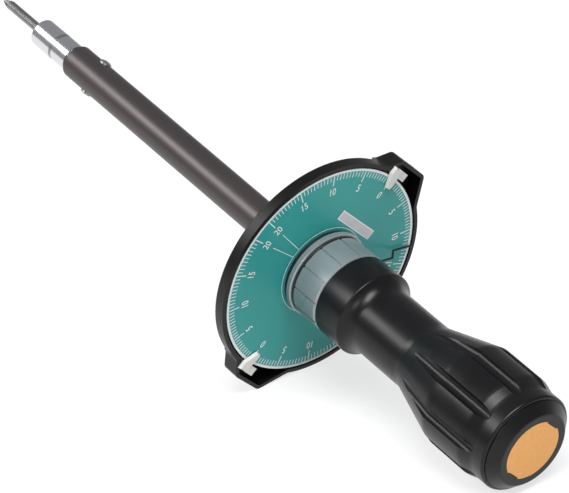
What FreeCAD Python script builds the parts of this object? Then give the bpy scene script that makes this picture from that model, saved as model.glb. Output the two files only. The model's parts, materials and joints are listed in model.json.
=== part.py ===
import FreeCAD, Part
import math
import os
import Sketcher

# Dial torque screwdriver: a torsion bar twists between the bit holder and the grip, a scale plate
# turns with the grip past two pointers on the dial housing, and a loose wire keeps the reading.
#
# Every piece is drawn about the tool's own axis: local Z points from the grip to the bit, Z = 0 is the
# plate's visible face, and local X points at the first pointer. The whole tool is then laid down as it
# rests on a bench, on the housing's rim, the housing's lug and the grip's shoulder.

SIZES = {
    # scale plate and what clamps it, mm
    "plate_radius": 40.0,
    "plate_thickness": 1.0,
    "plate_nut_radius": 15.5,
    "plate_nut_thickness": 1.4,
    "spigot_radius": 12.4,
    "spacer_radius": 15.6,
    "spacer_thickness": 1.9,
    "flange_radius": 16.35,
    "flange_thickness": 1.9,
    # zero-setting ring and the wire's groove
    "zero_ring_radius": 15.8,
    "zero_ring_length": 11.3,
    "zero_ring_chamfer": 0.6,
    "zero_rib_count": 12,
    "zero_rib_width": 0.8,
    "zero_rib_depth": 0.4,
    "groove_width": 1.4,
    "groove_depth": 0.9,
    "wire_diameter": 0.8,
    "wire_step_radius": 28.4,
    "wire_step_run": 3.2,
    "wire_height": 1.0,
    "wire_angle": 231.9,
    # grip core, its journal and its bearings
    "journal_radius": 11.0,
    "core_radius": 10.6,
    "core_bore": 8.0,
    "core_rear": 92.0,
    "clip_thickness": 0.8,
    "clip_rim": 12.1,
    "clip_groove_depth": 0.7,
    "seal_section": 1.4,
    "seal_station": 11.0,
    "bush_length": 12.0,
    "washer_thickness": 0.7,
    # tube, torsion bar and anchor
    "tube_radius": 6.5,
    "tube_bore": 5.0,
    "tube_reach": 147.0,
    "tube_tail": 58.0,
    "tube_clip_inset": 1.2,
    "tube_clip_depth": 0.6,
    "bar_radius": 1.25,
    "bar_head_radius": 2.5,
    "bar_head_length": 14.0,
    "anchor_length": 26.0,
    "anchor_pin_radius": 1.0,
    "anchor_pin_station": 73.0,
    # bit holder and bit
    "holder_radius": 5.5,
    "holder_reach": 22.5,
    "holder_gap": 1.2,
    "holder_neck": 4.9,
    "holder_shank": 26.0,
    "bar_socket_depth": 19.0,
    "hex_across_flats": 6.35,
    "hex_depth": 19.5,
    "ring_station": 12.4,
    "ring_width": 1.4,
    "ring_depth": 0.8,
    "ball_radius": 0.75,
    "screw_station": 12.5,
    "screw_angle": -8.0,
    "screw_radius": 1.5,
    "screw_head_radius": 2.5,
    "screw_head_rise": 0.7,
    "spotface_depth": 0.6,
    "bit_neck_radius": 1.75,
    "bit_reach": 25.4,
    "bit_tip_radius": 0.7,
    "bit_point_length": 3.4,
    "bit_flute_width": 0.75,
    # dial housing
    "rim_gap": 0.6,
    "rim_wall": 1.5,
    "rim_overhang": 0.25,
    "rim_depth": 4.35,
    "floor_thickness": 1.5,
    "well_radius": 17.0,
    "well_wall": 1.8,
    "hub_radius": 10.5,
    "hub_length": 11.0,
    "hub_screw_radius": 1.5,
    "lug_rise": 4.7,
    "lug_near_width": 1.2,
    "lug_far_width": 13.3,
    "lug_near_slope": 1.0,
    "lug_far_slope": 0.75,
    "lug_depth": 7.1,
    "lug_wall": 1.4,
    "lug_corner": 2.6,
    "lug_blend": 4.0,
    "lug_edge": 0.8,
    # pointers
    "pointer_overlap": 4.4,
    "pointer_back_gap": 1.8,
    "pointer_rise": 1.6,
    "pointer_step": 0.35,
    "pointer_block_far": 4.2,
    "pointer_block_near": 0.5,
    "pointer_tip_width": 1.9,
    "pointer_blade_root": 3.7,
    "pointer_blade_side": 0.7,
    "pointer_draft": 15.0,
    # grip
    "grip_front_radius": 15.8,
    "bead_radius": 15.9,
    "bead_round": 0.8,
    "bead_hollow": 6.5,
    "neck_radius": 12.65,
    "neck_front": 34.6,
    "neck_rear": 56.5,
    "bulge_radius": 19.55,
    "bulge_start": 79.0,
    "bulge_end": 97.0,
    "bulge_round": 5.0,
    "skirt_start": 101.5,
    "skirt_radius": 18.2,
    "skirt_rear": 107.4,
    "skirt_round": 1.0,
    "flute_count": 9,
    "flute_radius": 2.3,
    "flute_depth": 1.8,
    "flute_end": 101.0,
    "flute_phase": 11.5,
    # end ring, insert and screw
    "end_ring_radius": 17.0,
    "end_ring_length": 3.7,
    "end_ring_bevel": 3.3,
    "end_ring_round": 1.2,
    "end_spigot_radius": 13.0,
    "end_spigot_length": 4.0,
    "insert_radius": 10.9,
    "insert_thickness": 2.0,
    "notch_half_width": 3.2,
    "notch_depth": 0.9,
    "end_screw_radius": 2.0,
    "end_screw_head": 3.5,
    "end_screw_length": 20.0,
    # clearances, on the radius or along the axis
    "fit_clearance": 0.05,
    "axial_gap": 0.1,
    "running_gap": 0.3,
}

SHEET = "Sizes"


class Length:
    """A size with its number and the sheet formula that gives it."""

    def __init__(self, value, text):
        self.value = value
        self.text = text

    def __add__(self, other):
        other = as_length(other)
        return Length(self.value + other.value, f"({self.text} + {other.text})")

    def __sub__(self, other):
        other = as_length(other)
        return Length(self.value - other.value, f"({self.text} - {other.text})")

    def __mul__(self, other):
        other = as_length(other)
        return Length(self.value * other.value, f"({self.text} * {other.text})")

    def __truediv__(self, other):
        other = as_length(other)
        return Length(self.value / other.value, f"({self.text} / {other.text})")

    def __neg__(self):
        return Length(-self.value, f"(0 - {self.text})")

    def root(self):
        return Length(math.sqrt(self.value), f"sqrt({self.text})")


def as_length(number):
    return number if isinstance(number, Length) else Length(float(number), f"{float(number):.6f}")


def make_sheet(doc):
    sheet = doc.addObject("Spreadsheet::Sheet", SHEET)
    for row, (alias, number) in enumerate(SIZES.items(), start=1):
        sheet.set(f"A{row}", alias)
        sheet.set(f"B{row}", str(number))
        sheet.setAlias(f"B{row}", alias)
    doc.recompute()
    return sheet


class Sizes:
    """Gives each cell of the sheet as a Length."""

    def __init__(self, sheet):
        self.sheet = sheet

    def __getattr__(self, alias):
        return Length(float(self.sheet.get(alias)), f"{SHEET}.{alias}")


# ---- sketch and feature helpers ------------------------------------------------------------

def new_body(doc, label):
    body = doc.addObject("PartDesign::Body", label)
    body.Label = label
    return body


def sketch_on(body, role, label, lift=None):
    """A sketch on one of the body's own origin planes, lifted along its normal by a Length."""
    sketch = body.newObject("Sketcher::SketchObject", label)
    plane = [item for item in body.Origin.OriginFeatures if item.Role == role][0]
    sketch.AttachmentSupport = [(plane, "")]
    sketch.MapMode = "FlatFace"
    if lift is not None:
        sketch.AttachmentOffset = FreeCAD.Placement(FreeCAD.Vector(0, 0, lift.value), FreeCAD.Rotation())
        sketch.setExpression("AttachmentOffset.Base.z", lift.text)
    return sketch


def pin_point(sketch, edge, end, x, y):
    """Hold one end of a sketch edge at (x, y), both given by the sheet."""
    for kind, length in (("DistanceX", x), ("DistanceY", y)):
        index = sketch.addConstraint(Sketcher.Constraint(kind, -1, 1, edge, end, length.value))
        sketch.setExpression(f"Constraints[{index}]", length.text)


def arc_between(start, finish, radius, turn):
    """The arc from start to finish with its centre on the left (turn 1) or the right (turn -1)."""
    chord = finish - start
    height = math.sqrt(max(radius ** 2 - chord.Length ** 2 / 4, 0))
    side = FreeCAD.Vector(-chord.y, chord.x, 0).normalize() * turn
    centre = (start + finish) / 2 + side * height
    first = math.atan2(start.y - centre.y, start.x - centre.x)
    last = math.atan2(finish.y - centre.y, finish.x - centre.x)
    if turn < 0:
        first, last = last, first
    circle = Part.Circle(centre, FreeCAD.Vector(0, 0, 1), radius)
    return Part.ArcOfCircle(circle, first, last)


def draw_outline(sketch, corners, closed=True):
    """Join corners (x, y) by straight edges, or by an arc where a corner adds (radius, turn)."""
    corners = [tuple(as_length(item) for item in corner[:3]) + corner[3:] for corner in corners]
    count = len(corners) if closed else len(corners) - 1
    points = [FreeCAD.Vector(corner[0].value, corner[1].value, 0) for corner in corners]
    starts, ends = [], []
    for index in range(count):
        corner = corners[index]
        here, there = points[index], points[(index + 1) % len(points)]
        if len(corner) == 2:
            edge = sketch.addGeometry(Part.LineSegment(here, there))
            starts.append((edge, 1))
            ends.append((edge, 2))
        else:
            radius, turn = corner[2], corner[3]
            edge = sketch.addGeometry(arc_between(here, there, radius.value, turn))
            starts.append((edge, 1 if turn > 0 else 2))
            ends.append((edge, 2 if turn > 0 else 1))
            bound = sketch.addConstraint(Sketcher.Constraint("Radius", edge, radius.value))
            sketch.setExpression(f"Constraints[{bound}]", radius.text)
    for index in range(count if closed else count - 1):
        nxt = starts[(index + 1) % count]
        sketch.addConstraint(Sketcher.Constraint("Coincident", *ends[index], *nxt))
    for index in range(count):
        pin_point(sketch, *starts[index], corners[index][0], corners[index][1])
    if not closed:
        pin_point(sketch, *ends[-1], corners[-1][0], corners[-1][1])


def draw_circle(sketch, x, y, radius):
    x, y, radius = as_length(x), as_length(y), as_length(radius)
    circle = Part.Circle(FreeCAD.Vector(x.value, y.value, 0), FreeCAD.Vector(0, 0, 1), radius.value)
    edge = sketch.addGeometry(circle)
    index = sketch.addConstraint(Sketcher.Constraint("Radius", edge, radius.value))
    sketch.setExpression(f"Constraints[{index}]", radius.text)
    pin_point(sketch, edge, 3, x, y)


def draw_hexagon(sketch, across_flats):
    """A hexagon about the origin with one flat facing +X."""
    flat = across_flats / 2
    side = flat / 0.8660254
    draw_outline(sketch, [(flat, -side / 2), (flat, side / 2), (as_length(0), side),
                          (-flat, side / 2), (-flat, -side / 2), (as_length(0), -side)])


def turned(doc, label, outline, angle=360.0, role="XZ_Plane"):
    """A piece turned about Z from an outline of (radius, z) corners; the role sets where its seam lies."""
    body = new_body(doc, label)
    sketch = sketch_on(body, role, label + "_outline")
    draw_outline(sketch, outline)
    turn = body.newObject("PartDesign::Revolution", label + "_turned")
    turn.Profile = sketch
    turn.ReferenceAxis = (sketch, ["V_Axis"])
    turn.Angle = angle
    body.Tip = turn
    return body


def turned_cut(body, sketch, label):
    """Turn a sketch about its own vertical axis and take it out of the body."""
    groove = body.newObject("PartDesign::Groove", label)
    groove.Profile = sketch
    groove.ReferenceAxis = (sketch, ["V_Axis"])
    groove.Angle = 360.0
    body.Tip = groove
    return groove


def sleeve(doc, label, inner, outer, low, high, angle=360.0):
    return turned(doc, label, [(inner, low), (outer, low), (outer, high), (inner, high)], angle)


def cut_pocket(body, sketch, depth, reverse, both_ways=False):
    """Pocket a sketch to a depth; reverse says it runs along the sketch's normal."""
    pocket = body.newObject("PartDesign::Pocket", sketch.Name + "_pocket")
    pocket.Profile = sketch
    pocket.Length = depth.value
    pocket.setExpression("Length", depth.text)
    pocket.Reversed = reverse
    pocket.Midplane = both_ways
    body.Tip = pocket
    return pocket


def pad(body, sketch, height, both_ways=False):
    feature = body.newObject("PartDesign::Pad", sketch.Name + "_pad")
    feature.Profile = sketch
    feature.Length = height.value
    feature.setExpression("Length", height.text)
    feature.Midplane = both_ways
    body.Tip = feature
    return feature


def pattern(doc, body, features, count, label):
    """Repeat features about the body's Z axis."""
    axis = [item for item in body.Origin.OriginFeatures if item.Role == "Z_Axis"][0]
    repeat = body.newObject("PartDesign::PolarPattern", label)
    repeat.Originals = features
    repeat.Axis = (axis, [""])
    repeat.Angle = 360
    repeat.Occurrences = int(round(count.value))
    repeat.setExpression("Occurrences", count.text)
    body.Tip = repeat
    doc.recompute()
    return repeat


def circles_at(shape, stations):
    """Names of the circular edges about Z that lie at the given (radius, z) stations."""
    names = []
    for index, edge in enumerate(shape.Edges, start=1):
        curve = edge.Curve
        if not isinstance(curve, Part.Circle) or abs(curve.Center.x) + abs(curve.Center.y) > 1e-6:
            continue
        for radius, height in stations:
            if abs(curve.Radius - radius.value) < 1e-4 and abs(curve.Center.z - height.value) < 1e-4:
                names.append(f"Edge{index}")
    return names


def level_edges(shape, height, reach):
    """Names of the edges that lie level at a height and stay further than reach from Z."""
    names = []
    for index, edge in enumerate(shape.Edges, start=1):
        box = edge.BoundBox
        if abs(box.ZMin - height.value) > 1e-4 or abs(box.ZMax - height.value) > 1e-4:
            continue
        middle = edge.valueAt((edge.FirstParameter + edge.LastParameter) / 2)
        if math.hypot(middle.x, middle.y) > reach.value:
            names.append(f"Edge{index}")
    return names


def round_edges(doc, body, names, radius, label, kind="Fillet"):
    """Fillet or chamfer the named edges of the body's tip."""
    base = body.Tip
    feature = body.newObject("PartDesign::" + kind, label)
    feature.Base = (base, names)
    key = "Radius" if kind == "Fillet" else "Size"
    setattr(feature, key, radius.value)
    feature.setExpression(key, radius.text)
    body.Tip = feature
    doc.recompute()
    return feature


# ---- stations, worked out once ------------------------------------------------------------------

class Stations:
    """Radii and places along the axis that several pieces share."""

    def __init__(self, s):
        zero = as_length(0)
        # towards the bit, from the plate's visible face
        self.plate_front = s.plate_thickness
        self.nut_front = self.plate_front + s.plate_nut_thickness
        self.spigot_end = self.nut_front + s.axial_gap
        self.clip_rear = self.spigot_end + s.axial_gap
        self.clip_front = self.clip_rear + s.clip_thickness
        self.journal_end = self.clip_front + 1.0
        self.washer_rear = self.journal_end + s.axial_gap
        self.washer_front = self.washer_rear + s.washer_thickness
        self.well_floor = self.washer_front
        self.well_face = self.well_floor + s.well_wall
        self.hub_front = self.well_face + s.hub_length
        self.rim_front = s.rim_depth - s.rim_overhang
        self.dish_floor = self.rim_front - s.floor_thickness
        self.pocket_floor = s.lug_depth - s.floor_thickness - s.rim_overhang
        # out from the axis, around the plate
        self.rim_inside = s.plate_radius + s.rim_gap
        self.rim_radius = self.rim_inside + s.rim_wall
        self.lug_radius = self.rim_radius + s.lug_rise
        self.pointer_outer = self.lug_radius - s.lug_wall - s.pointer_back_gap
        # towards the grip, from the plate's visible face
        self.spacer_rear = zero - s.spacer_thickness
        self.flange_rear = self.spacer_rear - s.flange_thickness
        self.groove_rear = self.flange_rear - s.groove_width
        self.wire_height = (self.flange_rear + self.groove_rear) / 2
        self.zero_rear = self.groove_rear - s.zero_ring_length
        self.grip_front = self.zero_rear - s.running_gap
        self.tube_rear = zero - s.tube_tail
        self.tube_clip = self.tube_rear + s.tube_clip_inset
        self.rear_bush = self.tube_clip + s.clip_thickness + s.axial_gap
        self.core_rear = zero - s.core_rear
        self.anchor_front = self.core_rear + s.anchor_length
        self.pin = zero - s.anchor_pin_station
        self.grip_rear = zero - s.skirt_rear
        self.end_face = self.grip_rear - s.end_ring_length
        # bit end
        self.tube_front = s.tube_reach
        self.holder_rear = self.tube_front - s.holder_shank
        self.holder_front = self.tube_front + s.holder_reach
        self.hex_floor = self.holder_front - s.hex_depth
        self.ring_middle = self.holder_front - s.ring_station
        self.screws = self.tube_front - s.screw_station
        self.bar_front = self.holder_rear + s.bar_socket_depth - s.axial_gap


# ---- barrel: what stays with the tube ------------------------------------------------------------

def make_tube(doc, s, at):
    """Outer tube with a rounded mouth, two spot-faced screw holes and a clip groove at its tail."""
    clip_floor = s.tube_radius - s.tube_clip_depth
    clip_front = at.tube_clip + s.clip_thickness + s.axial_gap
    body = turned(doc, "tube", [
        (s.tube_bore, at.tube_rear), (s.tube_radius, at.tube_rear), (s.tube_radius, at.tube_clip),
        (clip_floor, at.tube_clip), (clip_floor, clip_front), (s.tube_radius, clip_front),
        (s.tube_radius, at.tube_front), (s.tube_bore, at.tube_front)])
    doc.recompute()
    mouth = circles_at(body.Tip.Shape, [(s.tube_radius, at.tube_front)])
    round_edges(doc, body, mouth, (s.tube_radius - s.tube_bore) / 3, "tube_mouth")
    holes = sketch_on(body, "YZ_Plane", "tube_screw_hole")
    draw_circle(holes, as_length(0), at.screws, s.screw_radius + s.fit_clearance)
    cut_pocket(body, holes, s.tube_radius * 4, False, both_ways=True)
    for side, sign in (("near", 1), ("far", -1)):
        seat = (s.tube_radius - s.spotface_depth) * sign
        face = sketch_on(body, "YZ_Plane", f"tube_spotface_{side}", seat)
        draw_circle(face, as_length(0), at.screws, s.screw_head_radius + s.fit_clearance * 2)
        cut_pocket(body, face, s.tube_radius, sign > 0)
    return body


def make_bit_holder(doc, s, at):
    """Chromed holder: hex socket in front, ring groove, and a shank screwed into the tube."""
    shank = s.tube_bore - s.fit_clearance
    neck_top = at.tube_front + s.holder_gap
    ring_low = at.ring_middle - s.ring_width / 2
    ring_high = at.ring_middle + s.ring_width / 2
    ring_floor = s.holder_radius - s.ring_depth
    bar_bore = s.bar_head_radius + s.fit_clearance
    bore_end = at.holder_rear + s.bar_socket_depth
    body = turned(doc, "bit_holder", [
        (bar_bore, at.holder_rear), (shank, at.holder_rear), (shank, at.tube_front - 0.5),
        (s.holder_neck, at.tube_front - 0.5), (s.holder_neck, neck_top), (s.holder_radius, neck_top),
        (s.holder_radius, ring_low), (ring_floor, ring_low), (ring_floor, ring_high),
        (s.holder_radius, ring_high), (s.holder_radius, at.holder_front), (0, at.holder_front),
        (0, bore_end), (bar_bore, bore_end)])
    doc.recompute()
    nose = circles_at(body.Tip.Shape, [(s.holder_radius, at.holder_front)])
    round_edges(doc, body, nose, s.holder_radius / 6, "holder_nose")
    socket = sketch_on(body, "XY_Plane", "holder_hex", at.holder_front)
    draw_hexagon(socket, s.hex_across_flats + s.fit_clearance * 2)
    cut_pocket(body, socket, s.hex_depth, False)
    screws = sketch_on(body, "YZ_Plane", "holder_screw_hole")
    draw_circle(screws, as_length(0), at.screws, s.screw_radius + s.fit_clearance)
    cut_pocket(body, screws, s.tube_radius * 4, False, both_ways=True)
    ball = sketch_on(body, "YZ_Plane", "holder_ball_hole")
    draw_circle(ball, as_length(0), at.ring_middle, s.ball_radius + s.fit_clearance)
    cut_pocket(body, ball, s.holder_radius, True)
    return body


def make_retaining_ring(doc, s, at):
    """Open spring ring in the holder's groove."""
    low = at.ring_middle - s.ring_width / 2 + s.axial_gap
    high = at.ring_middle + s.ring_width / 2 - s.axial_gap
    inner = s.holder_radius - s.ring_depth + s.fit_clearance
    return sleeve(doc, "bit_retaining_ring", inner, s.holder_radius, low, high, angle=320.0)


def make_detent_ball(doc, s, at):
    """Ball that the spring ring presses on the bit's flat."""
    ball = doc.addObject("Part::Sphere", "detent_ball")
    ball.Label = "detent_ball"
    ball.Radius = s.ball_radius.value
    ball.setExpression("Radius", s.ball_radius.text)
    return ball


def make_bit(doc, s, at):
    """Cross-point bit: hex shank, ribbed neck and a fluted point."""
    shank_end = at.hex_floor + s.axial_gap
    point_end = at.holder_front + s.bit_reach
    point_base = point_end - s.bit_point_length
    body = turned(doc, "bit", [
        (0, shank_end), (s.bit_neck_radius, shank_end), (s.bit_neck_radius, point_base),
        (s.bit_tip_radius, point_end), (0, point_end)])
    shank = sketch_on(body, "XY_Plane", "bit_hex", shank_end)
    draw_hexagon(shank, s.hex_across_flats)
    pad(body, shank, at.holder_front - shank_end - s.axial_gap)
    doc.recompute()
    flute = sketch_on(body, "XY_Plane", "bit_flute", point_end)
    inner = s.bit_tip_radius * 0.55
    outer = s.bit_neck_radius * 1.5
    half = s.bit_flute_width / 2
    wide = outer - inner + half
    draw_outline(flute, [(inner, -half), (outer, -wide), (outer, wide), (inner, half)])
    deep = cut_pocket(body, flute, s.bit_point_length * 1.1, False)
    rib = sketch_on(body, "XY_Plane", "bit_rib", point_end)
    shallow = s.bit_neck_radius * 0.72
    reach = outer - shallow + half / 2
    draw_outline(rib, [(shallow, -half / 2), (outer, -reach), (outer, reach), (shallow, half / 2)])
    long = cut_pocket(body, rib, s.bit_reach - s.bit_neck_radius, False)
    pattern(doc, body, [deep, long], as_length(4), "bit_flutes")
    return body


def make_holder_screw(doc, s, at, label):
    """Low-headed screw from the spot face down to the torsion bar's head, drawn along its own Z."""
    tip = s.bar_head_radius + s.fit_clearance
    seat = s.tube_radius - s.spotface_depth
    crown = s.tube_radius + s.screw_head_rise
    edge = crown - s.screw_head_rise * 0.7
    recess = s.screw_radius * 0.6
    floor = crown - s.screw_head_rise
    body = turned(doc, label, [
        (0, tip), (s.screw_radius, tip), (s.screw_radius, seat), (s.screw_head_radius, seat),
        (s.screw_head_radius, edge), (s.screw_head_radius * 0.6, crown), (recess, crown),
        (recess, floor), (0, floor)])
    return body


def make_torsion_bar(doc, s, at):
    """Slender spring-steel bar with a thick head at each end and a cross hole for its anchor pin."""
    front_head = at.bar_front - s.bar_head_length
    rear_head = at.anchor_front - s.axial_gap
    rear_end = rear_head - s.bar_head_length
    body = turned(doc, "torsion_bar", [
        (0, rear_end), (s.bar_head_radius, rear_end), (s.bar_head_radius, rear_head),
        (s.bar_radius, rear_head + 1.5), (s.bar_radius, front_head - 1.5),
        (s.bar_head_radius, front_head), (s.bar_head_radius, at.bar_front), (0, at.bar_front)])
    hole = sketch_on(body, "YZ_Plane", "bar_pin_hole")
    draw_circle(hole, as_length(0), at.pin, s.anchor_pin_radius + s.fit_clearance)
    cut_pocket(body, hole, s.bar_head_radius * 4, False, both_ways=True)
    return body


class LugFlank:
    """One leaning side of a lug, as a line n.p = reach in the quarter where x and y are positive."""

    def __init__(self, radius, slope, corner_y, inset):
        self.lean = (slope * slope + 1).root()
        self.across = slope / self.lean
        self.up = as_length(1) / self.lean
        self.reach = (radius * slope + corner_y) / self.lean - inset
        self.flat = radius - inset

    def point(self, out, along):
        """The point at a distance out along the line's normal and along the line, away from the flat."""
        return self.across * out - self.up * along, self.up * out + self.across * along

    def on_circle(self, radius, out):
        """Where a line parallel to the flank crosses a circle about the axis."""
        return self.point(out, -(radius * radius - out * out).root())

    def corner(self, radius):
        """The height of the round's centre between flat and flank, and the round's end on the flank."""
        centre_y = (self.reach - radius) * self.lean - (self.flat - radius) * (self.across / self.up)
        return centre_y, (self.flat - radius + self.across * radius, centre_y + self.up * radius)


def lug_flanks(s, at, inset):
    """The flank towards +Y and the flank towards -Y, which stands further from the pointer."""
    near = LugFlank(at.lug_radius, s.lug_near_slope, s.lug_near_width, inset)
    far = LugFlank(at.lug_radius, s.lug_far_slope, s.lug_far_width, inset)
    return near, far


def lug_outline(s, at, side):
    """The lug's outline: a flat outer face, rounded corners and flanks that flow into the rim."""
    foot = at.rim_radius * 0.78
    blend = s.lug_blend
    halves = []
    for flank in lug_flanks(s, at, 0.0):
        rim = flank.on_circle(at.rim_radius + blend, flank.reach + blend)
        share = at.rim_radius / (at.rim_radius + blend)
        line = (rim[0] - flank.across * blend, rim[1] - flank.up * blend)
        flat_y, turn_in = flank.corner(s.lug_corner)
        halves.append(((rim[0] * share, rim[1] * share), line, turn_in, (at.lug_radius, flat_y)))
    near, far = halves
    corners = [
        (foot, near[0][1]), (near[0][0], near[0][1], blend, 1), near[1],
        (near[2][0], near[2][1], s.lug_corner, -1), near[3],
        (far[3][0], -far[3][1], s.lug_corner, -1), (far[2][0], -far[2][1]),
        (far[1][0], -far[1][1], blend, 1), (far[0][0], -far[0][1]), (foot, -far[0][1])]
    return mirrored(corners, side)


def pocket_outline(s, at, side):
    """The pocket's outline: the lug's, one wall further in, open towards the plate."""
    mouth = at.rim_inside - s.running_gap
    near, far = lug_flanks(s, at, s.lug_wall)
    near_foot = near.on_circle(mouth, near.reach)
    far_foot = far.on_circle(mouth, far.reach)
    near_y, near_in = near.corner(s.lug_corner / 2)
    far_y, far_in = far.corner(s.lug_corner / 2)
    corners = [
        near_foot, (near_in[0], near_in[1], s.lug_corner / 2, -1), (near.flat, near_y),
        (far.flat, -far_y, s.lug_corner / 2, -1), (far_in[0], -far_in[1]),
        (far_foot[0], -far_foot[1], mouth, 1)]
    return mirrored(corners, side)


def mirrored(corners, side):
    """The same corners on the other side of the axis when side is -1."""
    if side > 0:
        return corners
    return [(-corner[0], corner[1]) if len(corner) == 2 else
            (-corner[0], corner[1], corner[2], -corner[3]) for corner in corners]


def make_dial_housing(doc, s, at):
    """Moulded dish behind the plate, with a well and hub on the tube and two pocketed lugs."""
    well_outer = s.well_radius + s.well_wall
    bore = s.tube_radius + s.fit_clearance
    mouth = -s.rim_overhang
    soft = as_length(0.6)
    body = turned(doc, "dial_housing", [
        (bore, mouth), (at.rim_radius, mouth), (at.rim_radius, at.rim_front - soft, soft, 1),
        (at.rim_radius - soft, at.rim_front), (well_outer, at.rim_front),
        (well_outer, at.well_face - soft, soft, 1), (well_outer - soft, at.well_face),
        (s.hub_radius, at.well_face), (s.hub_radius, at.hub_front - soft, soft, 1),
        (s.hub_radius - soft, at.hub_front), (bore, at.hub_front)])
    for side, name in ((1, "first"), (-1, "second")):
        outline = sketch_on(body, "XY_Plane", f"lug_{name}", mouth)
        draw_outline(outline, lug_outline(s, at, side))
        pad(body, outline, s.lug_depth)
    doc.recompute()
    front = level_edges(body.Tip.Shape, s.lug_depth - s.rim_overhang, at.rim_radius * 0.75)
    round_edges(doc, body, front, s.lug_edge, "lug_edges")
    dish = sketch_on(body, "XZ_Plane", "dish_outline")
    draw_outline(dish, [(bore - 1, mouth - 1), (at.rim_inside, mouth - 1), (at.rim_inside, at.dish_floor),
                        (s.well_radius, at.dish_floor), (s.well_radius, at.well_floor),
                        (bore - 1, at.well_floor)])
    turned_cut(body, dish, "dish")
    for side, name in ((1, "first"), (-1, "second")):
        outline = sketch_on(body, "XY_Plane", f"pocket_{name}", mouth)
        draw_outline(outline, pocket_outline(s, at, side))
        cut_pocket(body, outline, s.lug_depth - s.floor_thickness, True)
    hub = sketch_on(body, "XZ_Plane", "hub_screw_hole")
    draw_circle(hub, as_length(0), at.well_face + s.hub_length / 2, s.hub_screw_radius)
    cut_pocket(body, hub, s.hub_radius * 4, False, both_ways=True)
    doc.recompute()
    return body


def make_hub_screw(doc, s, at, label):
    """Headless set screw in the hub, drawn along its own Z."""
    tip = s.tube_radius + s.fit_clearance
    top = s.hub_radius - 0.4
    radius = s.hub_screw_radius - s.fit_clearance
    return turned(doc, label, [(0, tip), (radius, tip), (radius, top), (radius * 0.5, top),
                               (radius * 0.5, top - 1.5), (0, top - 1.5)])


def make_pointer(doc, s, at, label, side):
    """Moulded pointer: a block in the lug's pocket and a tapered blade over rim and plate."""
    body = new_body(doc, label)
    foot = s.plate_radius + s.running_gap * 2
    lift = s.pointer_step - s.pointer_rise
    block = sketch_on(body, "XY_Plane", label + "_block", lift)
    draw_outline(block, mirrored([
        (foot, -s.pointer_block_far), (at.pointer_outer, -s.pointer_block_far),
        (at.pointer_outer, s.pointer_block_near), (foot, s.pointer_block_near)], side))
    pad(body, block, at.pocket_floor - lift - s.axial_gap)
    blade_low = s.rim_overhang + s.axial_gap
    base = sketch_on(body, "XY_Plane", label + "_blade", -blade_low)
    inner = s.plate_radius - s.pointer_overlap
    tip = s.pointer_tip_width / 2
    draw_outline(base, mirrored([
        (inner, -tip), (foot, -s.pointer_blade_side), (at.pointer_outer, -s.pointer_blade_side),
        (at.pointer_outer, s.pointer_blade_root), (foot, s.pointer_blade_root), (inner, tip)], side))
    blade = pad(body, base, s.pointer_rise - blade_low)
    blade.Reversed = True
    blade.TaperAngle = -s.pointer_draft.value
    blade.setExpression("TaperAngle", f"-{s.pointer_draft.text}")
    doc.recompute()
    return body


def make_thrust_washer(doc, s, at):
    """Washer between the housing's well and the end of the grip core."""
    return sleeve(doc, "thrust_washer", s.tube_radius + s.fit_clearance, s.journal_radius - 1.0,
                  at.washer_rear, at.washer_front)


def make_tube_clip(doc, s, at):
    """Spring clip in the tube's tail groove, behind the rear bush."""
    inner = s.tube_radius - s.tube_clip_depth + s.fit_clearance
    low = at.tube_clip + s.axial_gap / 2
    return sleeve(doc, "tube_clip", inner, s.core_bore - s.running_gap, low, low + s.clip_thickness, 330.0)


# ---- grip: what turns with the handle --------------------------------------------------------------

def make_grip_core(doc, s, at):
    """Metal sleeve inside the grip, with the journal that carries the zero ring."""
    seal_floor = s.journal_radius - s.seal_section + s.fit_clearance
    seal_middle = -s.seal_station
    seal_low = seal_middle - s.seal_section * 0.65
    seal_high = seal_middle + s.seal_section * 0.65
    clip_floor = s.journal_radius - s.clip_groove_depth
    clip_low = at.clip_rear - s.axial_gap / 2
    clip_high = at.clip_front + s.axial_gap / 2
    body = turned(doc, "grip_core", [
        (s.core_bore, at.core_rear), (s.core_radius, at.core_rear), (s.core_radius, at.grip_front),
        (s.journal_radius, at.grip_front), (s.journal_radius, seal_low), (seal_floor, seal_low),
        (seal_floor, seal_high), (s.journal_radius, seal_high), (s.journal_radius, clip_low),
        (clip_floor, clip_low), (clip_floor, clip_high), (s.journal_radius, clip_high),
        (s.journal_radius, at.journal_end), (s.core_bore, at.journal_end)])
    hole = sketch_on(body, "YZ_Plane", "core_pin_hole")
    draw_circle(hole, as_length(0), at.pin, s.anchor_pin_radius + s.fit_clearance)
    cut_pocket(body, hole, s.core_radius * 4, False, both_ways=True)
    return body


def make_bush(doc, s, low, label):
    """Plain bearing between the tube and the grip core."""
    return sleeve(doc, label, s.tube_radius + s.fit_clearance, s.core_bore, low, low + s.bush_length)


def make_seal(doc, s, at):
    """O-ring that gives the zero ring its drag on the journal."""
    section = s.seal_section / 2
    middle = s.journal_radius - section + s.fit_clearance / 2
    seal = doc.addObject("Part::Torus", "zero_ring_seal")
    seal.Label = "zero_ring_seal"
    seal.Radius1 = middle.value
    seal.Radius2 = (section - s.fit_clearance / 2).value
    seal.setExpression("Radius1", middle.text)
    seal.setExpression("Radius2", (section - s.fit_clearance / 2).text)
    return seal


def make_hub_clip(doc, s, at):
    """Spring clip that keeps the zero ring on the journal."""
    inner = s.journal_radius - s.clip_groove_depth + s.fit_clearance
    return sleeve(doc, "hub_clip", inner, s.clip_rim, at.clip_rear, at.clip_front, 330.0)


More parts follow.
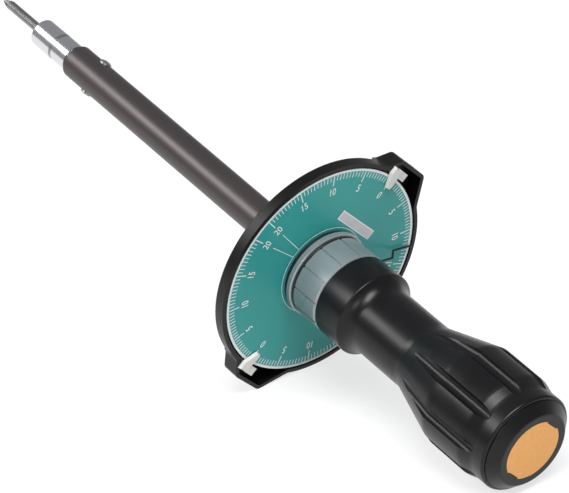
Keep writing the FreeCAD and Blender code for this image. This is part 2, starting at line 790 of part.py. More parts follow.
def make_anchor_plug(doc, s, at):
    """Plug at the back of the core that holds the torsion bar's tail and takes the end screw."""
    outer = s.core_bore - s.fit_clearance
    bore = s.bar_head_radius + s.fit_clearance
    bar_end = at.anchor_front - s.axial_gap - s.bar_head_length - s.axial_gap
    thread = s.end_screw_radius + s.fit_clearance
    body = turned(doc, "anchor_plug", [
        (thread, at.core_rear), (outer, at.core_rear), (outer, at.anchor_front), (bore, at.anchor_front),
        (bore, bar_end), (thread, bar_end)])
    hole = sketch_on(body, "YZ_Plane", "plug_pin_hole")
    draw_circle(hole, as_length(0), at.pin, s.anchor_pin_radius + s.fit_clearance)
    cut_pocket(body, hole, s.core_radius * 4, False, both_ways=True)
    return body


def make_anchor_pin(doc, s, at):
    """Cross pin through core, plug and bar, drawn along its own Z."""
    half = s.core_radius - s.fit_clearance
    return turned(doc, "anchor_pin", [(0, -half), (s.anchor_pin_radius, -half),
                                      (s.anchor_pin_radius, half), (0, half)])


def make_grip(doc, s, at):
    """Moulded grip: straight front, bead, waist, fluted bulge and skirt, open for core and end ring."""
    bore = s.core_radius + s.fit_clearance
    floor = at.core_rear - s.axial_gap
    recess = at.grip_rear + s.end_spigot_length
    screw = s.end_screw_radius + s.running_gap
    # the bead ends where the hollow that rises from the neck reaches the bead's radius
    centre = s.neck_radius + s.bead_hollow
    bead = -s.neck_front + (s.bead_hollow * s.bead_hollow
                            - (centre - s.bead_radius) * (centre - s.bead_radius)).root()
    body = turned(doc, "grip", [
        (bore, at.grip_front), (s.grip_front_radius - 0.4, at.grip_front),
        (s.grip_front_radius, at.grip_front - 0.4), (s.bead_radius, bead, s.bead_hollow, 1),
        (s.neck_radius, -s.neck_front), (s.neck_radius, -s.neck_rear),
        (s.bulge_radius, -s.bulge_start), (s.bulge_radius, -s.bulge_end),
        (s.skirt_radius, -s.skirt_start), (s.skirt_radius, at.grip_rear),
        (s.end_spigot_radius, at.grip_rear), (s.end_spigot_radius, recess), (screw, recess),
        (screw, floor), (bore, floor)])
    doc.recompute()
    for label, radius, height, size in (
            ("bead_edge", s.bead_radius, bead, s.bead_round),
            ("waist_blend", s.neck_radius, -s.neck_rear, as_length(8.0)),
            ("bulge_blend", s.bulge_radius, -s.bulge_start, as_length(8.0)),
            ("bulge_edge", s.bulge_radius, -s.bulge_end, s.bulge_round),
            ("skirt_blend", s.skirt_radius, -s.skirt_start, s.bulge_round),
            ("skirt_edge", s.skirt_radius, at.grip_rear, s.skirt_round)):
        round_edges(doc, body, circles_at(body.Tip.Shape, [(radius, height)]), size, label)
    cut_flutes(doc, s, body)
    return body


def cut_flutes(doc, s, body):
    """Thumb flutes that rise out of the waist, run along the bulge and end in a half-round."""
    rise = s.bulge_radius + s.flute_radius - s.flute_depth
    knee = -s.bulge_start - 1.5
    start = -s.neck_rear + 2.0
    half_disc = sketch_on(body, "XZ_Plane", "flute_end")
    half_disc.AttachmentOffset = FreeCAD.Placement(
        FreeCAD.Vector(rise.value, -s.flute_end.value, 0), FreeCAD.Rotation())
    half_disc.setExpression("AttachmentOffset.Base.x", rise.text)
    half_disc.setExpression("AttachmentOffset.Base.y", (-s.flute_end).text)
    draw_outline(half_disc, [(0, -s.flute_radius, s.flute_radius, 1),
                             (s.flute_radius, 0, s.flute_radius, 1), (0, s.flute_radius)])
    end = turned_cut(body, half_disc, "flute_end_round")
    pattern(doc, body, [end], s.flute_count, "flute_ends")
    route = sketch_on(body, "XZ_Plane", "flute_route")
    top = s.neck_radius + s.flute_radius + 0.2
    draw_outline(route, [(top, start), (rise, knee), (rise, -s.flute_end)], closed=False)
    mill = sketch_on(body, "XY_Plane", "flute_section", start)
    draw_circle(mill, top, as_length(0), s.flute_radius)
    flute = body.newObject("PartDesign::SubtractivePipe", "flute")
    flute.Profile = mill
    flute.Spine = route
    flute.Transition = "Round corner"
    body.Tip = flute
    doc.recompute()
    pattern(doc, body, [flute], s.flute_count, "flutes")


def make_end_ring(doc, s, at):
    """Ring that closes the grip and carries the coloured insert between two keys."""
    recess = s.insert_radius + s.fit_clearance * 2
    floor = at.end_face + s.insert_thickness
    spigot = s.end_spigot_radius - s.fit_clearance
    spigot_top = at.grip_rear + s.end_spigot_length - s.axial_gap
    screw = s.end_screw_radius + s.running_gap
    head = s.end_screw_head + s.running_gap
    head_floor = floor + 3.0
    body = turned(doc, "end_ring", [
        (recess, at.end_face), (s.end_ring_radius - s.end_ring_bevel, at.end_face),
        (s.end_ring_radius, at.end_face + s.end_ring_bevel), (s.end_ring_radius, at.grip_rear),
        (spigot, at.grip_rear), (spigot, spigot_top), (screw, spigot_top), (screw, head_floor),
        (head, head_floor), (head, floor), (recess, floor)])
    doc.recompute()
    rim = circles_at(body.Tip.Shape, [(s.end_ring_radius - s.end_ring_bevel, at.end_face)])
    round_edges(doc, body, rim, s.end_ring_round, "end_ring_round")
    for side, name in ((1, "first"), (-1, "second")):
        key = sketch_on(body, "XY_Plane", f"insert_key_{name}", at.end_face + s.axial_gap)
        half = s.notch_half_width - s.fit_clearance * 2
        tip = (s.insert_radius - s.notch_depth + s.fit_clearance * 2) * side
        root = (recess + 0.5) * side
        draw_outline(key, [(tip, -half), (root, -half), (root, half), (tip, half)])
        pad(body, key, s.insert_thickness)
    doc.recompute()
    return body


def make_end_insert(doc, s, at):
    """Coloured disc in the grip's end, notched for the two keys."""
    body = sleeve(doc, "end_insert", as_length(0), s.insert_radius, at.end_face,
                  at.end_face + s.insert_thickness - s.axial_gap)
    for side, name in ((1, "first"), (-1, "second")):
        notch = sketch_on(body, "XY_Plane", f"insert_notch_{name}", at.end_face)
        tip = (s.insert_radius - s.notch_depth) * side
        out = (s.insert_radius + 1.0) * side
        half = s.notch_half_width
        draw_outline(notch, [(tip, -half), (out, -half), (out, half), (tip, half)])
        cut_pocket(body, notch, s.insert_thickness, True)
    doc.recompute()
    return body


def make_end_screw(doc, s, at):
    """Screw that holds the end ring against the grip, threaded into the anchor plug."""
    seat = at.end_face + s.insert_thickness + 3.0
    crown = seat - 2.2
    tip = seat + s.end_screw_length
    return turned(doc, "end_screw", [
        (0, crown + 1.2), (1.4, crown + 1.2), (1.4, crown), (s.end_screw_head, crown),
        (s.end_screw_head, seat), (s.end_screw_radius, seat), (s.end_screw_radius, tip), (0, tip)])


# ---- scale: what turns on the grip's journal --------------------------------------------------------

def make_scale_plate(doc, s, at):
    return sleeve(doc, "scale_plate", s.spigot_radius + s.fit_clearance, s.plate_radius,
                  as_length(0), at.plate_front)


def make_spacer_ring(doc, s, at):
    """Dark ring that stands the flange off the plate."""
    return sleeve(doc, "spacer_ring", s.spigot_radius + s.fit_clearance, s.spacer_radius,
                  at.spacer_rear, as_length(0))


def make_flange_ring(doc, s, at):
    """Front wall of the wire's groove."""
    body = sleeve(doc, "flange_ring", s.spigot_radius + s.fit_clearance, s.flange_radius,
                  at.flange_rear, at.spacer_rear)
    doc.recompute()
    rim = circles_at(body.Tip.Shape, [(s.flange_radius, at.flange_rear)])
    round_edges(doc, body, rim, as_length(0.4), "flange_edge", kind="Chamfer")
    return body


def make_plate_nut(doc, s, at):
    """Ring nut that clamps the plate, spacer and flange on the zero ring's spigot."""
    return sleeve(doc, "plate_nut", s.spigot_radius + s.fit_clearance, s.plate_nut_radius,
                  at.plate_front, at.nut_front)


def make_zero_ring(doc, s, at):
    """Ribbed ring on the journal, with the wire's groove and the spigot for the plate."""
    bore = s.journal_radius + s.fit_clearance
    groove = s.zero_ring_radius - s.groove_depth
    body = turned(doc, "zero_ring", [
        (bore, at.zero_rear), (s.zero_ring_radius, at.zero_rear), (s.zero_ring_radius, at.groove_rear),
        (groove, at.groove_rear), (groove, at.flange_rear), (s.spigot_radius, at.flange_rear),
        (s.spigot_radius, at.spigot_end), (bore, at.spigot_end)])
    doc.recompute()
    rear = circles_at(body.Tip.Shape, [(s.zero_ring_radius, at.zero_rear)])
    round_edges(doc, body, rear, s.zero_ring_chamfer, "zero_ring_chamfer", kind="Chamfer")
    slot = sketch_on(body, "XY_Plane", "zero_rib", at.zero_rear)
    half = s.zero_rib_width / 2
    floor = s.zero_ring_radius - s.zero_rib_depth
    draw_outline(slot, [(floor, -half), (floor + 3.0, -half), (floor + 3.0, half), (floor, half)])
    cut = cut_pocket(body, slot, s.zero_ring_length, True)
    doc.recompute()
    pattern(doc, body, [cut], s.zero_rib_count, "zero_ribs")
    return body


def make_memory_pointer(doc, s, at):
    """Bent wire: an open ring in the zero ring's groove and an arm stepped down to the plate."""
    wire = s.wire_diameter / 2
    ring = s.zero_ring_radius - s.groove_depth + s.fit_clearance * 2 + wire
    body = new_body(doc, "memory_pointer")
    section = sketch_on(body, "XZ_Plane", "wire_section")
    draw_circle(section, ring, at.wire_height, wire)
    loop = body.newObject("PartDesign::Revolution", "wire_loop")
    loop.Profile = section
    loop.ReferenceAxis = (section, ["V_Axis"])
    loop.Angle = 335.0
    body.Tip = loop
    doc.recompute()
    route = sketch_on(body, "XZ_Plane", "wire_route")
    draw_outline(route, [(ring, at.wire_height), (s.wire_step_radius, at.wire_height),
                         (s.wire_step_radius + s.wire_step_run, -s.wire_height),
                         (s.plate_radius, -s.wire_height)], closed=False)
    start = sketch_on(body, "YZ_Plane", "wire_start", ring)
    draw_circle(start, as_length(0), at.wire_height, wire)
    arm = body.newObject("PartDesign::AdditivePipe", "wire_arm")
    arm.Profile = start
    arm.Spine = route
    arm.Transition = "Round corner"
    body.Tip = arm
    doc.recompute()
    elbow = body.newObject("PartDesign::AdditiveSphere", "wire_elbow")
    elbow.Radius = wire.value
    elbow.setExpression("Radius", wire.text)
    plane = [item for item in body.Origin.OriginFeatures if item.Role == "XY_Plane"][0]
    elbow.AttachmentSupport = [(plane, "")]
    elbow.MapMode = "FlatFace"
    elbow.AttachmentOffset = FreeCAD.Placement(
        FreeCAD.Vector(ring.value, 0, at.wire_height.value), FreeCAD.Rotation())
    elbow.setExpression("AttachmentOffset.Base.x", ring.text)
    elbow.setExpression("AttachmentOffset.Base.z", at.wire_height.text)
    body.Tip = elbow
    doc.recompute()
    return body


# ---- placing -------------------------------------------------------------------------------------------

def about_axis(degrees):
    return FreeCAD.Placement(FreeCAD.Vector(), FreeCAD.Rotation(FreeCAD.Vector(0, 0, 1), degrees))


def radial(degrees, height=0.0):
    """Turns a piece's own Z to point out from the axis, with its origin on the axis at a height."""
    point_out = FreeCAD.Rotation(FreeCAD.Vector(0, 1, 0), 90)
    return FreeCAD.Placement(FreeCAD.Vector(0, 0, height),
                             FreeCAD.Rotation(FreeCAD.Vector(0, 0, 1), degrees) * point_out)


def resting_placement(s, at):
    """Lay the tool on its rim, one lug's corner and the grip, with the bit raised."""
    far_flank = lug_flanks(s, at, 0.0)[1]
    lug_centre_x = (at.lug_radius - s.lug_corner).value
    lug_centre_y = far_flank.corner(s.lug_corner)[0].value
    reach = math.hypot(lug_centre_x, lug_centre_y)
    corner = math.degrees(math.atan2(-lug_centre_y, lug_centre_x))
    drop = math.degrees(math.acos((at.rim_radius - s.lug_corner).value / reach))
    down = corner - drop
    # the floor is the line from the rim's sharp edge that just clears the bulge and the skirt
    rim = (-s.rim_overhang.value, at.rim_radius.value)
    lean = math.atan2((s.bulge_radius - s.skirt_radius).value, (s.skirt_start - s.bulge_end).value)
    bulge = (-s.bulge_end.value + s.bulge_round.value * math.tan(lean / 2),
             (s.bulge_radius - s.bulge_round).value, s.bulge_round.value)
    skirt = ((at.grip_rear + s.skirt_round).value, (s.skirt_radius - s.skirt_round).value,
             s.skirt_round.value)
    tilt = math.inf
    for station, radius, soft in (bulge, skirt):
        run, rise = rim[0] - station, rim[1] - radius
        tilt = min(tilt, math.atan2(rise, run) - math.asin(soft / math.hypot(run, rise)))
    height = rim[1] * math.cos(tilt) - rim[0] * math.sin(tilt)
    lay = FreeCAD.Rotation(FreeCAD.Vector(0, 1, 0), 90 - math.degrees(tilt))
    roll = FreeCAD.Rotation(FreeCAD.Vector(0, 0, 1), -down)
    return FreeCAD.Placement(FreeCAD.Vector(0, 0, height), lay * roll)


def build(doc):
    s = Sizes(make_sheet(doc))
    at = Stations(s)
    screws = s.screw_angle.value
    holder_turn = about_axis(screws)
    ball_out = (s.hex_across_flats / 2 + s.fit_clearance + s.ball_radius).value
    plain = about_axis(0)
    front_bush = at.journal_end - s.bush_length
    hub_screw_height = (at.well_face + s.hub_length / 2).value
    return [
        (make_tube(doc, s, at), holder_turn),
        (make_bit_holder(doc, s, at), holder_turn),
        (make_retaining_ring(doc, s, at), about_axis(screws + 20)),
        (make_detent_ball(doc, s, at),
         holder_turn * FreeCAD.Placement(FreeCAD.Vector(ball_out, 0, at.ring_middle.value), FreeCAD.Rotation())),
        (make_bit(doc, s, at), holder_turn),
        (make_holder_screw(doc, s, at, "holder_screw_near"), radial(screws, at.screws.value)),
        (make_holder_screw(doc, s, at, "holder_screw_far"), radial(screws + 180, at.screws.value)),
        (make_torsion_bar(doc, s, at), plain),
        (make_dial_housing(doc, s, at), plain),
        (make_hub_screw(doc, s, at, "hub_screw_upper"), radial(90, hub_screw_height)),
        (make_hub_screw(doc, s, at, "hub_screw_lower"), radial(270, hub_screw_height)),
        (make_pointer(doc, s, at, "pointer_right", 1), plain),
        (make_pointer(doc, s, at, "pointer_left", -1), plain),
        (make_thrust_washer(doc, s, at), plain),
        (make_tube_clip(doc, s, at), plain),
        (make_grip_core(doc, s, at), plain),
        (make_bush(doc, s, front_bush, "front_bush"), plain),
        (make_bush(doc, s, at.rear_bush, "rear_bush"), plain),
        (make_seal(doc, s, at),
         FreeCAD.Placement(FreeCAD.Vector(0, 0, -s.seal_station.value), FreeCAD.Rotation())),
        (make_hub_clip(doc, s, at), plain),
        (make_anchor_plug(doc, s, at), plain),
        (make_anchor_pin(doc, s, at), radial(0, at.pin.value)),
        (make_grip(doc, s, at), about_axis(s.flute_phase.value)),
        (make_end_ring(doc, s, at), plain),
        (make_end_insert(doc, s, at), plain),
        (make_end_screw(doc, s, at), plain),
        (make_zero_ring(doc, s, at), about_axis(24.4)),
        (make_scale_plate(doc, s, at), plain),
        (make_spacer_ring(doc, s, at), plain),
        (make_flange_ring(doc, s, at), plain),
        (make_plate_nut(doc, s, at), plain),
        (make_memory_pointer(doc, s, at), about_axis(s.wire_angle.value)),
    ], resting_placement(s, at)


def main():
    doc = FreeCAD.newDocument("TorqueScrewdriver")
    pieces, rest = build(doc)
    doc.recompute()
    for piece, local in pieces:
        piece.Placement = rest * local
    doc.recompute()
    low, high = math.inf, -math.inf
    side_low, side_high = math.inf, -math.inf
    for piece, _ in pieces:
        box = piece.Shape.optimalBoundingBox(False, False)
        low, high = min(low, box.XMin), max(high, box.XMax)
        side_low, side_high = min(side_low, box.YMin), max(side_high, box.YMax)
    centre = FreeCAD.Placement(FreeCAD.Vector(-(low + high) / 2, -(side_low + side_high) / 2, 0),
                               FreeCAD.Rotation())
    for piece, local in pieces:
        piece.Placement = centre * rest * local
    doc.recompute()
    for item in doc.Objects:
        faults = [state for state in item.State if state in ("Invalid", "Error")]
        if faults:
            raise RuntimeError(f"{item.Name} is {', '.join(faults)}")
    os.makedirs("parts", exist_ok=True)
    for piece, _ in pieces:
        shape = piece.Shape
        if shape.isNull() or not shape.isValid():
            raise RuntimeError(f"{piece.Label} has no valid shape")
        if len(shape.Solids) != 1:
            raise RuntimeError(f"{piece.Label} has {len(shape.Solids)} solids")
        shape.exportStep(os.path.join("parts", piece.Label + ".step"))
    print("pieces", len(pieces), "rest", centre * rest)


main()
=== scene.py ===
import json
import math

import bmesh
import bpy
from mathutils import Matrix, Vector


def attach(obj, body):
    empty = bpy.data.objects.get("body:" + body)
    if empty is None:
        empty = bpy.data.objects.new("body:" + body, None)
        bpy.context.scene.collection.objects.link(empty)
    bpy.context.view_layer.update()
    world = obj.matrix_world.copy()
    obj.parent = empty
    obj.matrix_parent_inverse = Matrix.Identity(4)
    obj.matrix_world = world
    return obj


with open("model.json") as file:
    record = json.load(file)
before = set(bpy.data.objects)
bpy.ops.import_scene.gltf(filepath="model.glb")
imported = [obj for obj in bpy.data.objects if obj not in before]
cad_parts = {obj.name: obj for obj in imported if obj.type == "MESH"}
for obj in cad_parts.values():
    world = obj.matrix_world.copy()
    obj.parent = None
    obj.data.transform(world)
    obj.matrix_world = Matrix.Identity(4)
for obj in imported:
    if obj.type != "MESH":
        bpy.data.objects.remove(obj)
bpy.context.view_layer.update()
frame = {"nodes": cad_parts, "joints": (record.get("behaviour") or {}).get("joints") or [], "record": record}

MM = 0.001

# ---- the tool's own frame: z along its axis towards the bit, x towards the first pointer -----------

twist = [joint for joint in frame["joints"] if joint["name"] == "twist"][0]
ORIGIN = Vector(twist["pos_m"])
AXIS = Vector(twist["axis"]).normalized()


def middle(node):
    points = [vertex.co for vertex in frame["nodes"][node].data.vertices]
    return sum(points, Vector()) / len(points)


between = middle("hub_screw_upper") - middle("hub_screw_lower")
SIDE = (between - AXIS * between.dot(AXIS)).normalized()
OUT = SIDE.cross(AXIS)
TOOL = Matrix((OUT, SIDE, AXIS)).transposed().to_4x4()
TOOL.translation = ORIGIN
TILT = math.asin(AXIS.z)


def on_tool(radius, degrees, height):
    """A point in the tool's frame, in metres, from millimetres and degrees."""
    turn = math.radians(degrees)
    return Vector((radius * math.cos(turn), radius * math.sin(turn), height)) * MM


# ---- dial layout, millimetres and degrees -----------------------------------------------------------

UNIT = 4.23              # degrees for one unit of torque
UNITS = 20
ZEROS = (0, 180)         # the dial has two scales, each with its own zero
NUMBER_STEP = 5          # units between two printed numbers
PRINT = 0.03             # how far the print stands off the plate
TICK_OUTER = 38.9
TICK_INNER = {"half": 36.9, "one": 36.7, "five": 34.8}
TICK_WIDTH = {"half": 0.26, "one": 0.28, "five": 0.36}
NUMBER_RADIUS = 32.2
NUMBER_HEIGHT = 2.9
NUMBER_TYPE_SIZE = 1.38  # type size for one unit of number height
NUMBER_NARROWING = 0.78
NUMBER_BOLDNESS = 0.02
EDGE_RING = (39.1, 40.0)         # inner and outer radius
INNER_LINE = (16.75, 16.95)
RING_STEPS = 192
LIMIT_LINE = (17.0, 28.8, 0.22)  # inner and outer radius, width
LABEL = (17.5, 21.3, 10.3)       # near and far edge, half length
LABEL_TRIM = 0.4


def new_object(name, mesh, body, material):
    """Puts a mesh made in the tool's frame on a body, with the one material given."""
    obj = bpy.data.objects.new(name, mesh)
    bpy.context.scene.collection.objects.link(obj)
    obj.matrix_world = TOOL
    mesh.materials.clear()
    mesh.materials.append(material)
    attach(obj, body)
    return obj


def slab(bm, corners, low, high):
    """A thin closed prism from a polygon of (x, y) corners in metres."""
    bottom = [bm.verts.new((x, y, low)) for x, y in corners]
    top = [bm.verts.new((x, y, high)) for x, y in corners]
    bm.faces.new(bottom)
    bm.faces.new(top)
    count = len(corners)
    for i in range(count):
        j = (i + 1) % count
        bm.faces.new((bottom[i], bottom[j], top[j], top[i]))


def ring_band(bm, inner, outer, low, high):
    """A thin closed ring, between two radii in millimetres and two heights in metres."""
    rows = []
    for radius, height in ((inner, low), (outer, low), (outer, high), (inner, high)):
        rows.append([bm.verts.new(on_tool(radius, 360 * k / RING_STEPS, 0) + Vector((0, 0, height)))
                     for k in range(RING_STEPS)])
    for a in range(4):
        b = (a + 1) % 4
        for k in range(RING_STEPS):
            n = (k + 1) % RING_STEPS
            bm.faces.new((rows[a][k], rows[a][n], rows[b][n], rows[b][k]))


def finished(bm, name):
    """Turns what was drawn into a mesh with its faces outward."""
    bmesh.ops.recalc_face_normals(bm, faces=bm.faces)
    mesh = bpy.data.meshes.new(name)
    bm.to_mesh(mesh)
    bm.free()
    return mesh


def radial_bar(bm, degrees, inner, outer, width, low, high):
    """A thin bar that points away from the axis, from one radius to another."""
    turn = math.radians(degrees)
    along = Vector((math.cos(turn), math.sin(turn)))
    across = Vector((-along.y, along.x))
    half = width / 2
    corners = []
    for radius, side in ((inner, -half), (outer, -half), (outer, half), (inner, half)):
        point = (along * radius + across * side) * MM
        corners.append((point.x, point.y))
    slab(bm, corners, low, high)


# ---- materials --------------------------------------------------------------------------------------

def linear(red, green, blue):
    """Turns a colour written in display values from 0 to 255 into the linear one a shader takes."""
    def channel(value):
        value /= 255
        return value / 12.92 if value <= 0.04045 else ((value + 0.055) / 1.055) ** 2.4
    return channel(red), channel(green), channel(blue), 1.0


def surface(name, colour, rough, metallic=0.0, tone=0.12, tone_scale=(60, 60, 60), rough_spread=0.08,
            grain=900.0, bump=0.12, bump_depth=0.00006, stretch=(1, 1, 1), specular=0.5):
    """A surface whose tone, gloss and fine relief vary by noise laid along the tool."""
    material = bpy.data.materials.new(name)
    material.use_nodes = True
    nodes, links = material.node_tree.nodes, material.node_tree.links
    shader = nodes["Principled BSDF"]
    shader.inputs["Metallic"].default_value = metallic
    shader.inputs["Specular IOR Level"].default_value = specular
    place = nodes.new("ShaderNodeTexCoord")
    lay = nodes.new("ShaderNodeMapping")
    lay.inputs["Rotation"].default_value = (0, TILT, 0)
    links.new(place.outputs["Object"], lay.inputs["Vector"])

    def noise(scale, detail):
        spread = nodes.new("ShaderNodeMapping")
        spread.inputs["Scale"].default_value = scale
        links.new(lay.outputs["Vector"], spread.inputs["Vector"])
        node = nodes.new("ShaderNodeTexNoise")
        node.inputs["Scale"].default_value = 1.0
        node.inputs["Detail"].default_value = detail
        links.new(spread.outputs["Vector"], node.inputs["Vector"])
        return node

    broad = noise(tone_scale, 4.0)
    ramp = nodes.new("ShaderNodeValToRGB")
    ramp.color_ramp.elements[0].position = 0.3
    ramp.color_ramp.elements[1].position = 0.7
    ramp.color_ramp.elements[0].color = tuple(c * (1 - tone) for c in colour[:3]) + (1.0,)
    ramp.color_ramp.elements[1].color = tuple(min(c * (1 + tone), 1.0) for c in colour[:3]) + (1.0,)
    links.new(broad.outputs["Fac"], ramp.inputs["Fac"])
    links.new(ramp.outputs["Color"], shader.inputs["Base Color"])
    gloss = nodes.new("ShaderNodeMapRange")
    gloss.inputs["To Min"].default_value = max(rough - rough_spread, 0.02)
    gloss.inputs["To Max"].default_value = rough + rough_spread
    links.new(broad.outputs["Fac"], gloss.inputs["Value"])
    links.new(gloss.outputs["Result"], shader.inputs["Roughness"])
    fine = noise(tuple(grain * s for s in stretch), 3.0)
    relief = nodes.new("ShaderNodeBump")
    relief.inputs["Strength"].default_value = bump
    relief.inputs["Distance"].default_value = bump_depth
    links.new(fine.outputs["Fac"], relief.inputs["Height"])
    links.new(relief.outputs["Normal"], shader.inputs["Normal"])
    return material


ALONG = (0.02, 1, 1)
looks = {
    "grip_plastic": surface("grip_black", linear(12, 11, 13), 0.31, tone=0.2, bump=0.15, grain=1400,
                            specular=0.3),
    "housing_plastic": surface("housing_black", linear(13, 12, 13), 0.36, tone=0.2, bump=0.2,
                               grain=1200, specular=0.25),
    "insert_plastic": surface("insert_orange", linear(236, 170, 92), 0.5, tone=0.05, grain=2500,
                              bump=0.3, tone_scale=(700, 700, 700)),
    "pointer_plastic": surface("pointer_white", linear(214, 212, 208), 0.4, tone=0.05),
    "washer_plastic": surface("washer_black", linear(26, 26, 28), 0.45),
    "plate_paint": surface("plate_teal", linear(46, 150, 146), 0.34, tone=0.04, tone_scale=(40, 40, 40),
                           bump=0.08, grain=1500, specular=0.35),
    "ring_metal": surface("ring_grey", linear(150, 158, 162), 0.3, metallic=0.5, tone=0.05, bump=0.15),
    "tube_metal": surface("tube_dark", linear(80, 74, 74), 0.4, metallic=0.7, tone=0.08,
                          tone_scale=(10, 90, 90), stretch=ALONG, bump=0.06, grain=1500),
    "holder_chrome": surface("holder_chrome", linear(215, 215, 218), 0.18, metallic=1.0, tone=0.02,
                             rough_spread=0.04, bump=0.03),
    "spring_steel": surface("spring_steel", linear(150, 150, 152), 0.3, metallic=0.95),
    "bit_steel": surface("bit_steel", linear(140, 138, 136), 0.33, metallic=0.9, tone=0.15, stretch=ALONG,
                         tone_scale=(60, 400, 400), bump=0.4, grain=2500),
    "screw_steel": surface("screw_steel", linear(150, 150, 152), 0.3, metallic=0.9),
    "core_steel": surface("core_steel", linear(165, 165, 168), 0.35, metallic=0.9),
    "bush_brass": surface("bush_brass", linear(200, 165, 95), 0.35, metallic=0.9),
    "seal_rubber": surface("seal_rubber", linear(20, 20, 20), 0.7),
    "wire_steel": surface("wire_dark", linear(34, 33, 34), 0.4, metallic=0.4),
}
print_white = surface("print_white", linear(226, 230, 228), 0.45, tone=0.03)
label_silver = surface("label_silver", linear(196, 196, 198), 0.4, tone=0.06,
                       tone_scale=(300, 300, 300))
label_border = surface("label_border", linear(226, 228, 228), 0.4, tone=0.04,
                       tone_scale=(300, 300, 300))

for entry in frame["record"]["subparts"]:
    node = frame["nodes"][entry["node"]]
    for holder in node.material_slots:
        holder.material = looks[entry["material_slot"]]

# ---- print on the dial ------------------------------------------------------------------------------

FACE = -PRINT * MM


def dial_ticks():
    """Ticks at half units to both sides of each zero, longer at whole units and at each fifth."""
    bm = bmesh.new()
    for zero in ZEROS:
        for side in (-1, 1):
            for half in range(0 if side > 0 else 1, UNITS * 2 + 1):
                kind = "five" if half % 10 == 0 else "one" if half % 2 == 0 else "half"
                radial_bar(bm, zero + side * half / 2 * UNIT, TICK_INNER[kind], TICK_OUTER,
                           TICK_WIDTH[kind], FACE, 0)
    return finished(bm, "dial_ticks")


def dial_rings():
    """The pale ring at the plate's edge and the fine circle round the hub."""
    bm = bmesh.new()
    ring_band(bm, *EDGE_RING, FACE, 0)
    ring_band(bm, *INNER_LINE, FACE, 0)
    return finished(bm, "dial_rings")


def limit_lines():
    """Fine lines from the hub towards the last numbers, on one side of the dial."""
    bm = bmesh.new()
    inner, outer, width = LIMIT_LINE
    for zero in ZEROS:
        for side in (-1, 1):
            if math.sin(math.radians(zero + side * UNITS * UNIT)) > 0:
                radial_bar(bm, zero + side * UNITS * UNIT, inner, outer, width, FACE, 0)
    return finished(bm, "dial_limit_lines")


def dial_numbers():
    """The numbers, tops outward, made into one mesh."""
    bm = bmesh.new()
    for zero in ZEROS:
        for side in (-1, 1):
            for value in range(0 if side > 0 else NUMBER_STEP, UNITS + 1, NUMBER_STEP):
                curve = bpy.data.curves.new("number", "FONT")
                curve.body = str(value)
                curve.size = NUMBER_HEIGHT * NUMBER_TYPE_SIZE * MM
                curve.align_x = "CENTER"
                curve.align_y = "CENTER"
                curve.extrude = PRINT * MM / 2
                curve.offset = NUMBER_BOLDNESS * MM
                curve.resolution_u = 4
                text = bpy.data.objects.new("number", curve)
                bpy.context.scene.collection.objects.link(text)
                mesh = bpy.data.meshes.new_from_object(text)
                turn = math.radians(zero + side * value * UNIT)
                up = Vector((math.cos(turn), math.sin(turn), 0))
                right = Vector((-up.y, up.x, 0))
                place = Matrix((right * NUMBER_NARROWING, up, Vector((0, 0, -1)))).transposed().to_4x4()
                place.translation = up * NUMBER_RADIUS * MM + Vector((0, 0, FACE / 2))
                mesh.transform(place)
                bm.from_mesh(mesh)
                bpy.data.objects.remove(text)
                bpy.data.curves.remove(curve)
                bpy.data.meshes.remove(mesh)
    return finished(bm, "dial_numbers")


def blank_label(name, trim, height):
    """A plain rectangle between hub and pointer, smaller all round by a trim."""
    inner, outer, half = LABEL[0] + trim, LABEL[1] - trim, LABEL[2] - trim
    bm = bmesh.new()
    corners = [(-inner * MM, -half * MM), (-outer * MM, -half * MM), (-outer * MM, half * MM),
               (-inner * MM, half * MM)]
    slab(bm, corners, height, 0)
    return finished(bm, name)


new_object("dial_ticks", dial_ticks(), "scale", print_white)
new_object("dial_rings", dial_rings(), "scale", print_white)
new_object("dial_limit_lines", limit_lines(), "scale", print_white)
new_object("dial_numbers", dial_numbers(), "scale", print_white)
new_object("dial_label_border", blank_label("dial_label_border", 0, FACE), "scale",
           label_border)
new_object("dial_label", blank_label("dial_label", LABEL_TRIM, FACE * 2), "scale",
           label_silver)

# ---- stage, light and camera ------------------------------------------------------------------------


def pale_floor():
    """A pale matt floor, white to the camera and in metal, that still keeps a soft shadow."""
    material = bpy.data.materials.new("floor_pale")
    material.use_nodes = True
    nodes, links = material.node_tree.nodes, material.node_tree.links
    shader = nodes["Principled BSDF"]
    shader.inputs["Roughness"].default_value = 0.9
    shader.inputs["Specular IOR Level"].default_value = 0.0
    rays = nodes.new("ShaderNodeLightPath")
    seen = rays.outputs["Is Camera Ray"]
    for kind in ("Is Glossy Ray", "Is Transmission Ray"):
        either = nodes.new("ShaderNodeMath")
        either.operation = "MAXIMUM"
        links.new(seen, either.inputs[0])
        links.new(rays.outputs[kind], either.inputs[1])
        seen = either.outputs[0]
    tint = nodes.new("ShaderNodeMix")
    tint.data_type = "RGBA"
    tint.inputs["A"].default_value = (0.6, 0.6, 0.6, 1)
    tint.inputs["B"].default_value = (1.0, 1.0, 1.0, 1)
    links.new(seen, tint.inputs["Factor"])
    links.new(tint.outputs["Result"], shader.inputs["Base Color"])
    white = nodes.new("ShaderNodeEmission")
    white.inputs["Strength"].default_value = 1.0
    share = nodes.new("ShaderNodeMapRange")
    share.inputs["To Max"].default_value = 0.7
    links.new(seen, share.inputs["Value"])
    mix = nodes.new("ShaderNodeMixShader")
    links.new(share.outputs["Result"], mix.inputs["Fac"])
    links.new(shader.outputs["BSDF"], mix.inputs[1])
    links.new(white.outputs["Emission"], mix.inputs[2])
    links.new(mix.outputs["Shader"], nodes["Material Output"].inputs["Surface"])
    return material


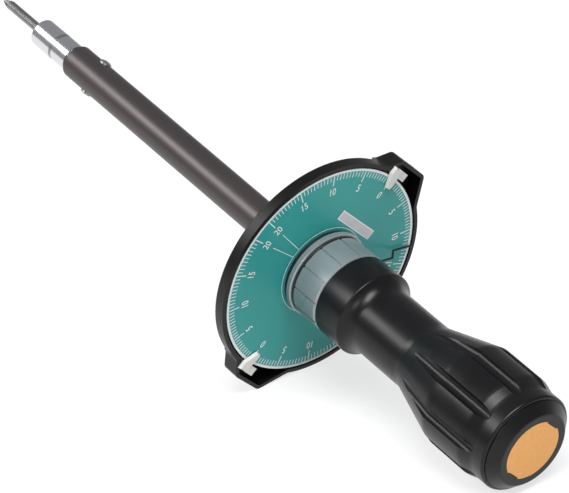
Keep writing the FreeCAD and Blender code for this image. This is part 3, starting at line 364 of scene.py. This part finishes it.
FLOOR_SIZE = 8
bpy.ops.mesh.primitive_plane_add(size=FLOOR_SIZE, location=(0, 0, 0))
floor = bpy.context.object
floor.name = "floor"
floor.data.materials.append(pale_floor())

world = bpy.data.worlds.new("studio")
bpy.context.scene.world = world
world.use_nodes = True
sky = world.node_tree.nodes["Background"]
sky.inputs["Color"].default_value = (0.95, 0.97, 1.0, 1)
sky.inputs["Strength"].default_value = 0.35


def lamp(name, place, aim, size, watts):
    """A soft rectangular lamp that faces its aim."""
    data = bpy.data.lights.new(name, "AREA")
    data.shape = "RECTANGLE"
    data.size, data.size_y = size
    data.energy = watts
    obj = bpy.data.objects.new(name, data)
    bpy.context.scene.collection.objects.link(obj)
    obj.location = place
    obj.rotation_euler = (Vector(aim) - Vector(place)).to_track_quat("-Z", "Y").to_euler()


def beside_tool(direction, distance):
    """A point away from the dial along a direction given in the tool's frame."""
    return ORIGIN + TOOL.to_3x3() @ Vector(direction).normalized() * distance


lamp("key", (-0.6, 0.25, 1.2), (0, 0, 0.04), (0.8, 0.5), 16)
lamp("strip", beside_tool((0.05, 0.8, 0.62), 1.1), ORIGIN, (0.9, 0.35), 7)
lamp("fill", (-1.3, 1.0, 0.6), (-0.05, 0, 0.05), (0.5, 0.5), 4)

# The camera looks past the grip's end at the dial, with the bit pointing away.
VIEW_FROM = Vector((-67.379, 902.505, -669.257)) * MM
VIEW_ALONG = Vector((0.0610854, -0.7938758, 0.6050039))
VIEW_UP = Vector((-0.7875793, 0.3340286, 0.5178261))
SENSOR_WIDTH = 36.0
LENS = 208.65
CLIP = (0.05, 20.0)
turned = TOOL.to_3x3()
ahead = turned @ VIEW_ALONG
above = turned @ VIEW_UP
across = ahead.cross(above)
camera_data = bpy.data.cameras.new("camera")
camera_data.sensor_width = SENSOR_WIDTH
camera_data.lens = LENS
camera_data.clip_start, camera_data.clip_end = CLIP
camera = bpy.data.objects.new("camera", camera_data)
bpy.context.scene.collection.objects.link(camera)
stand = Matrix((across, above, -ahead)).transposed().to_4x4()
stand.translation = TOOL @ VIEW_FROM
camera.matrix_world = stand
bpy.context.scene.camera = camera
bpy.context.scene.view_settings.view_transform = "Standard"
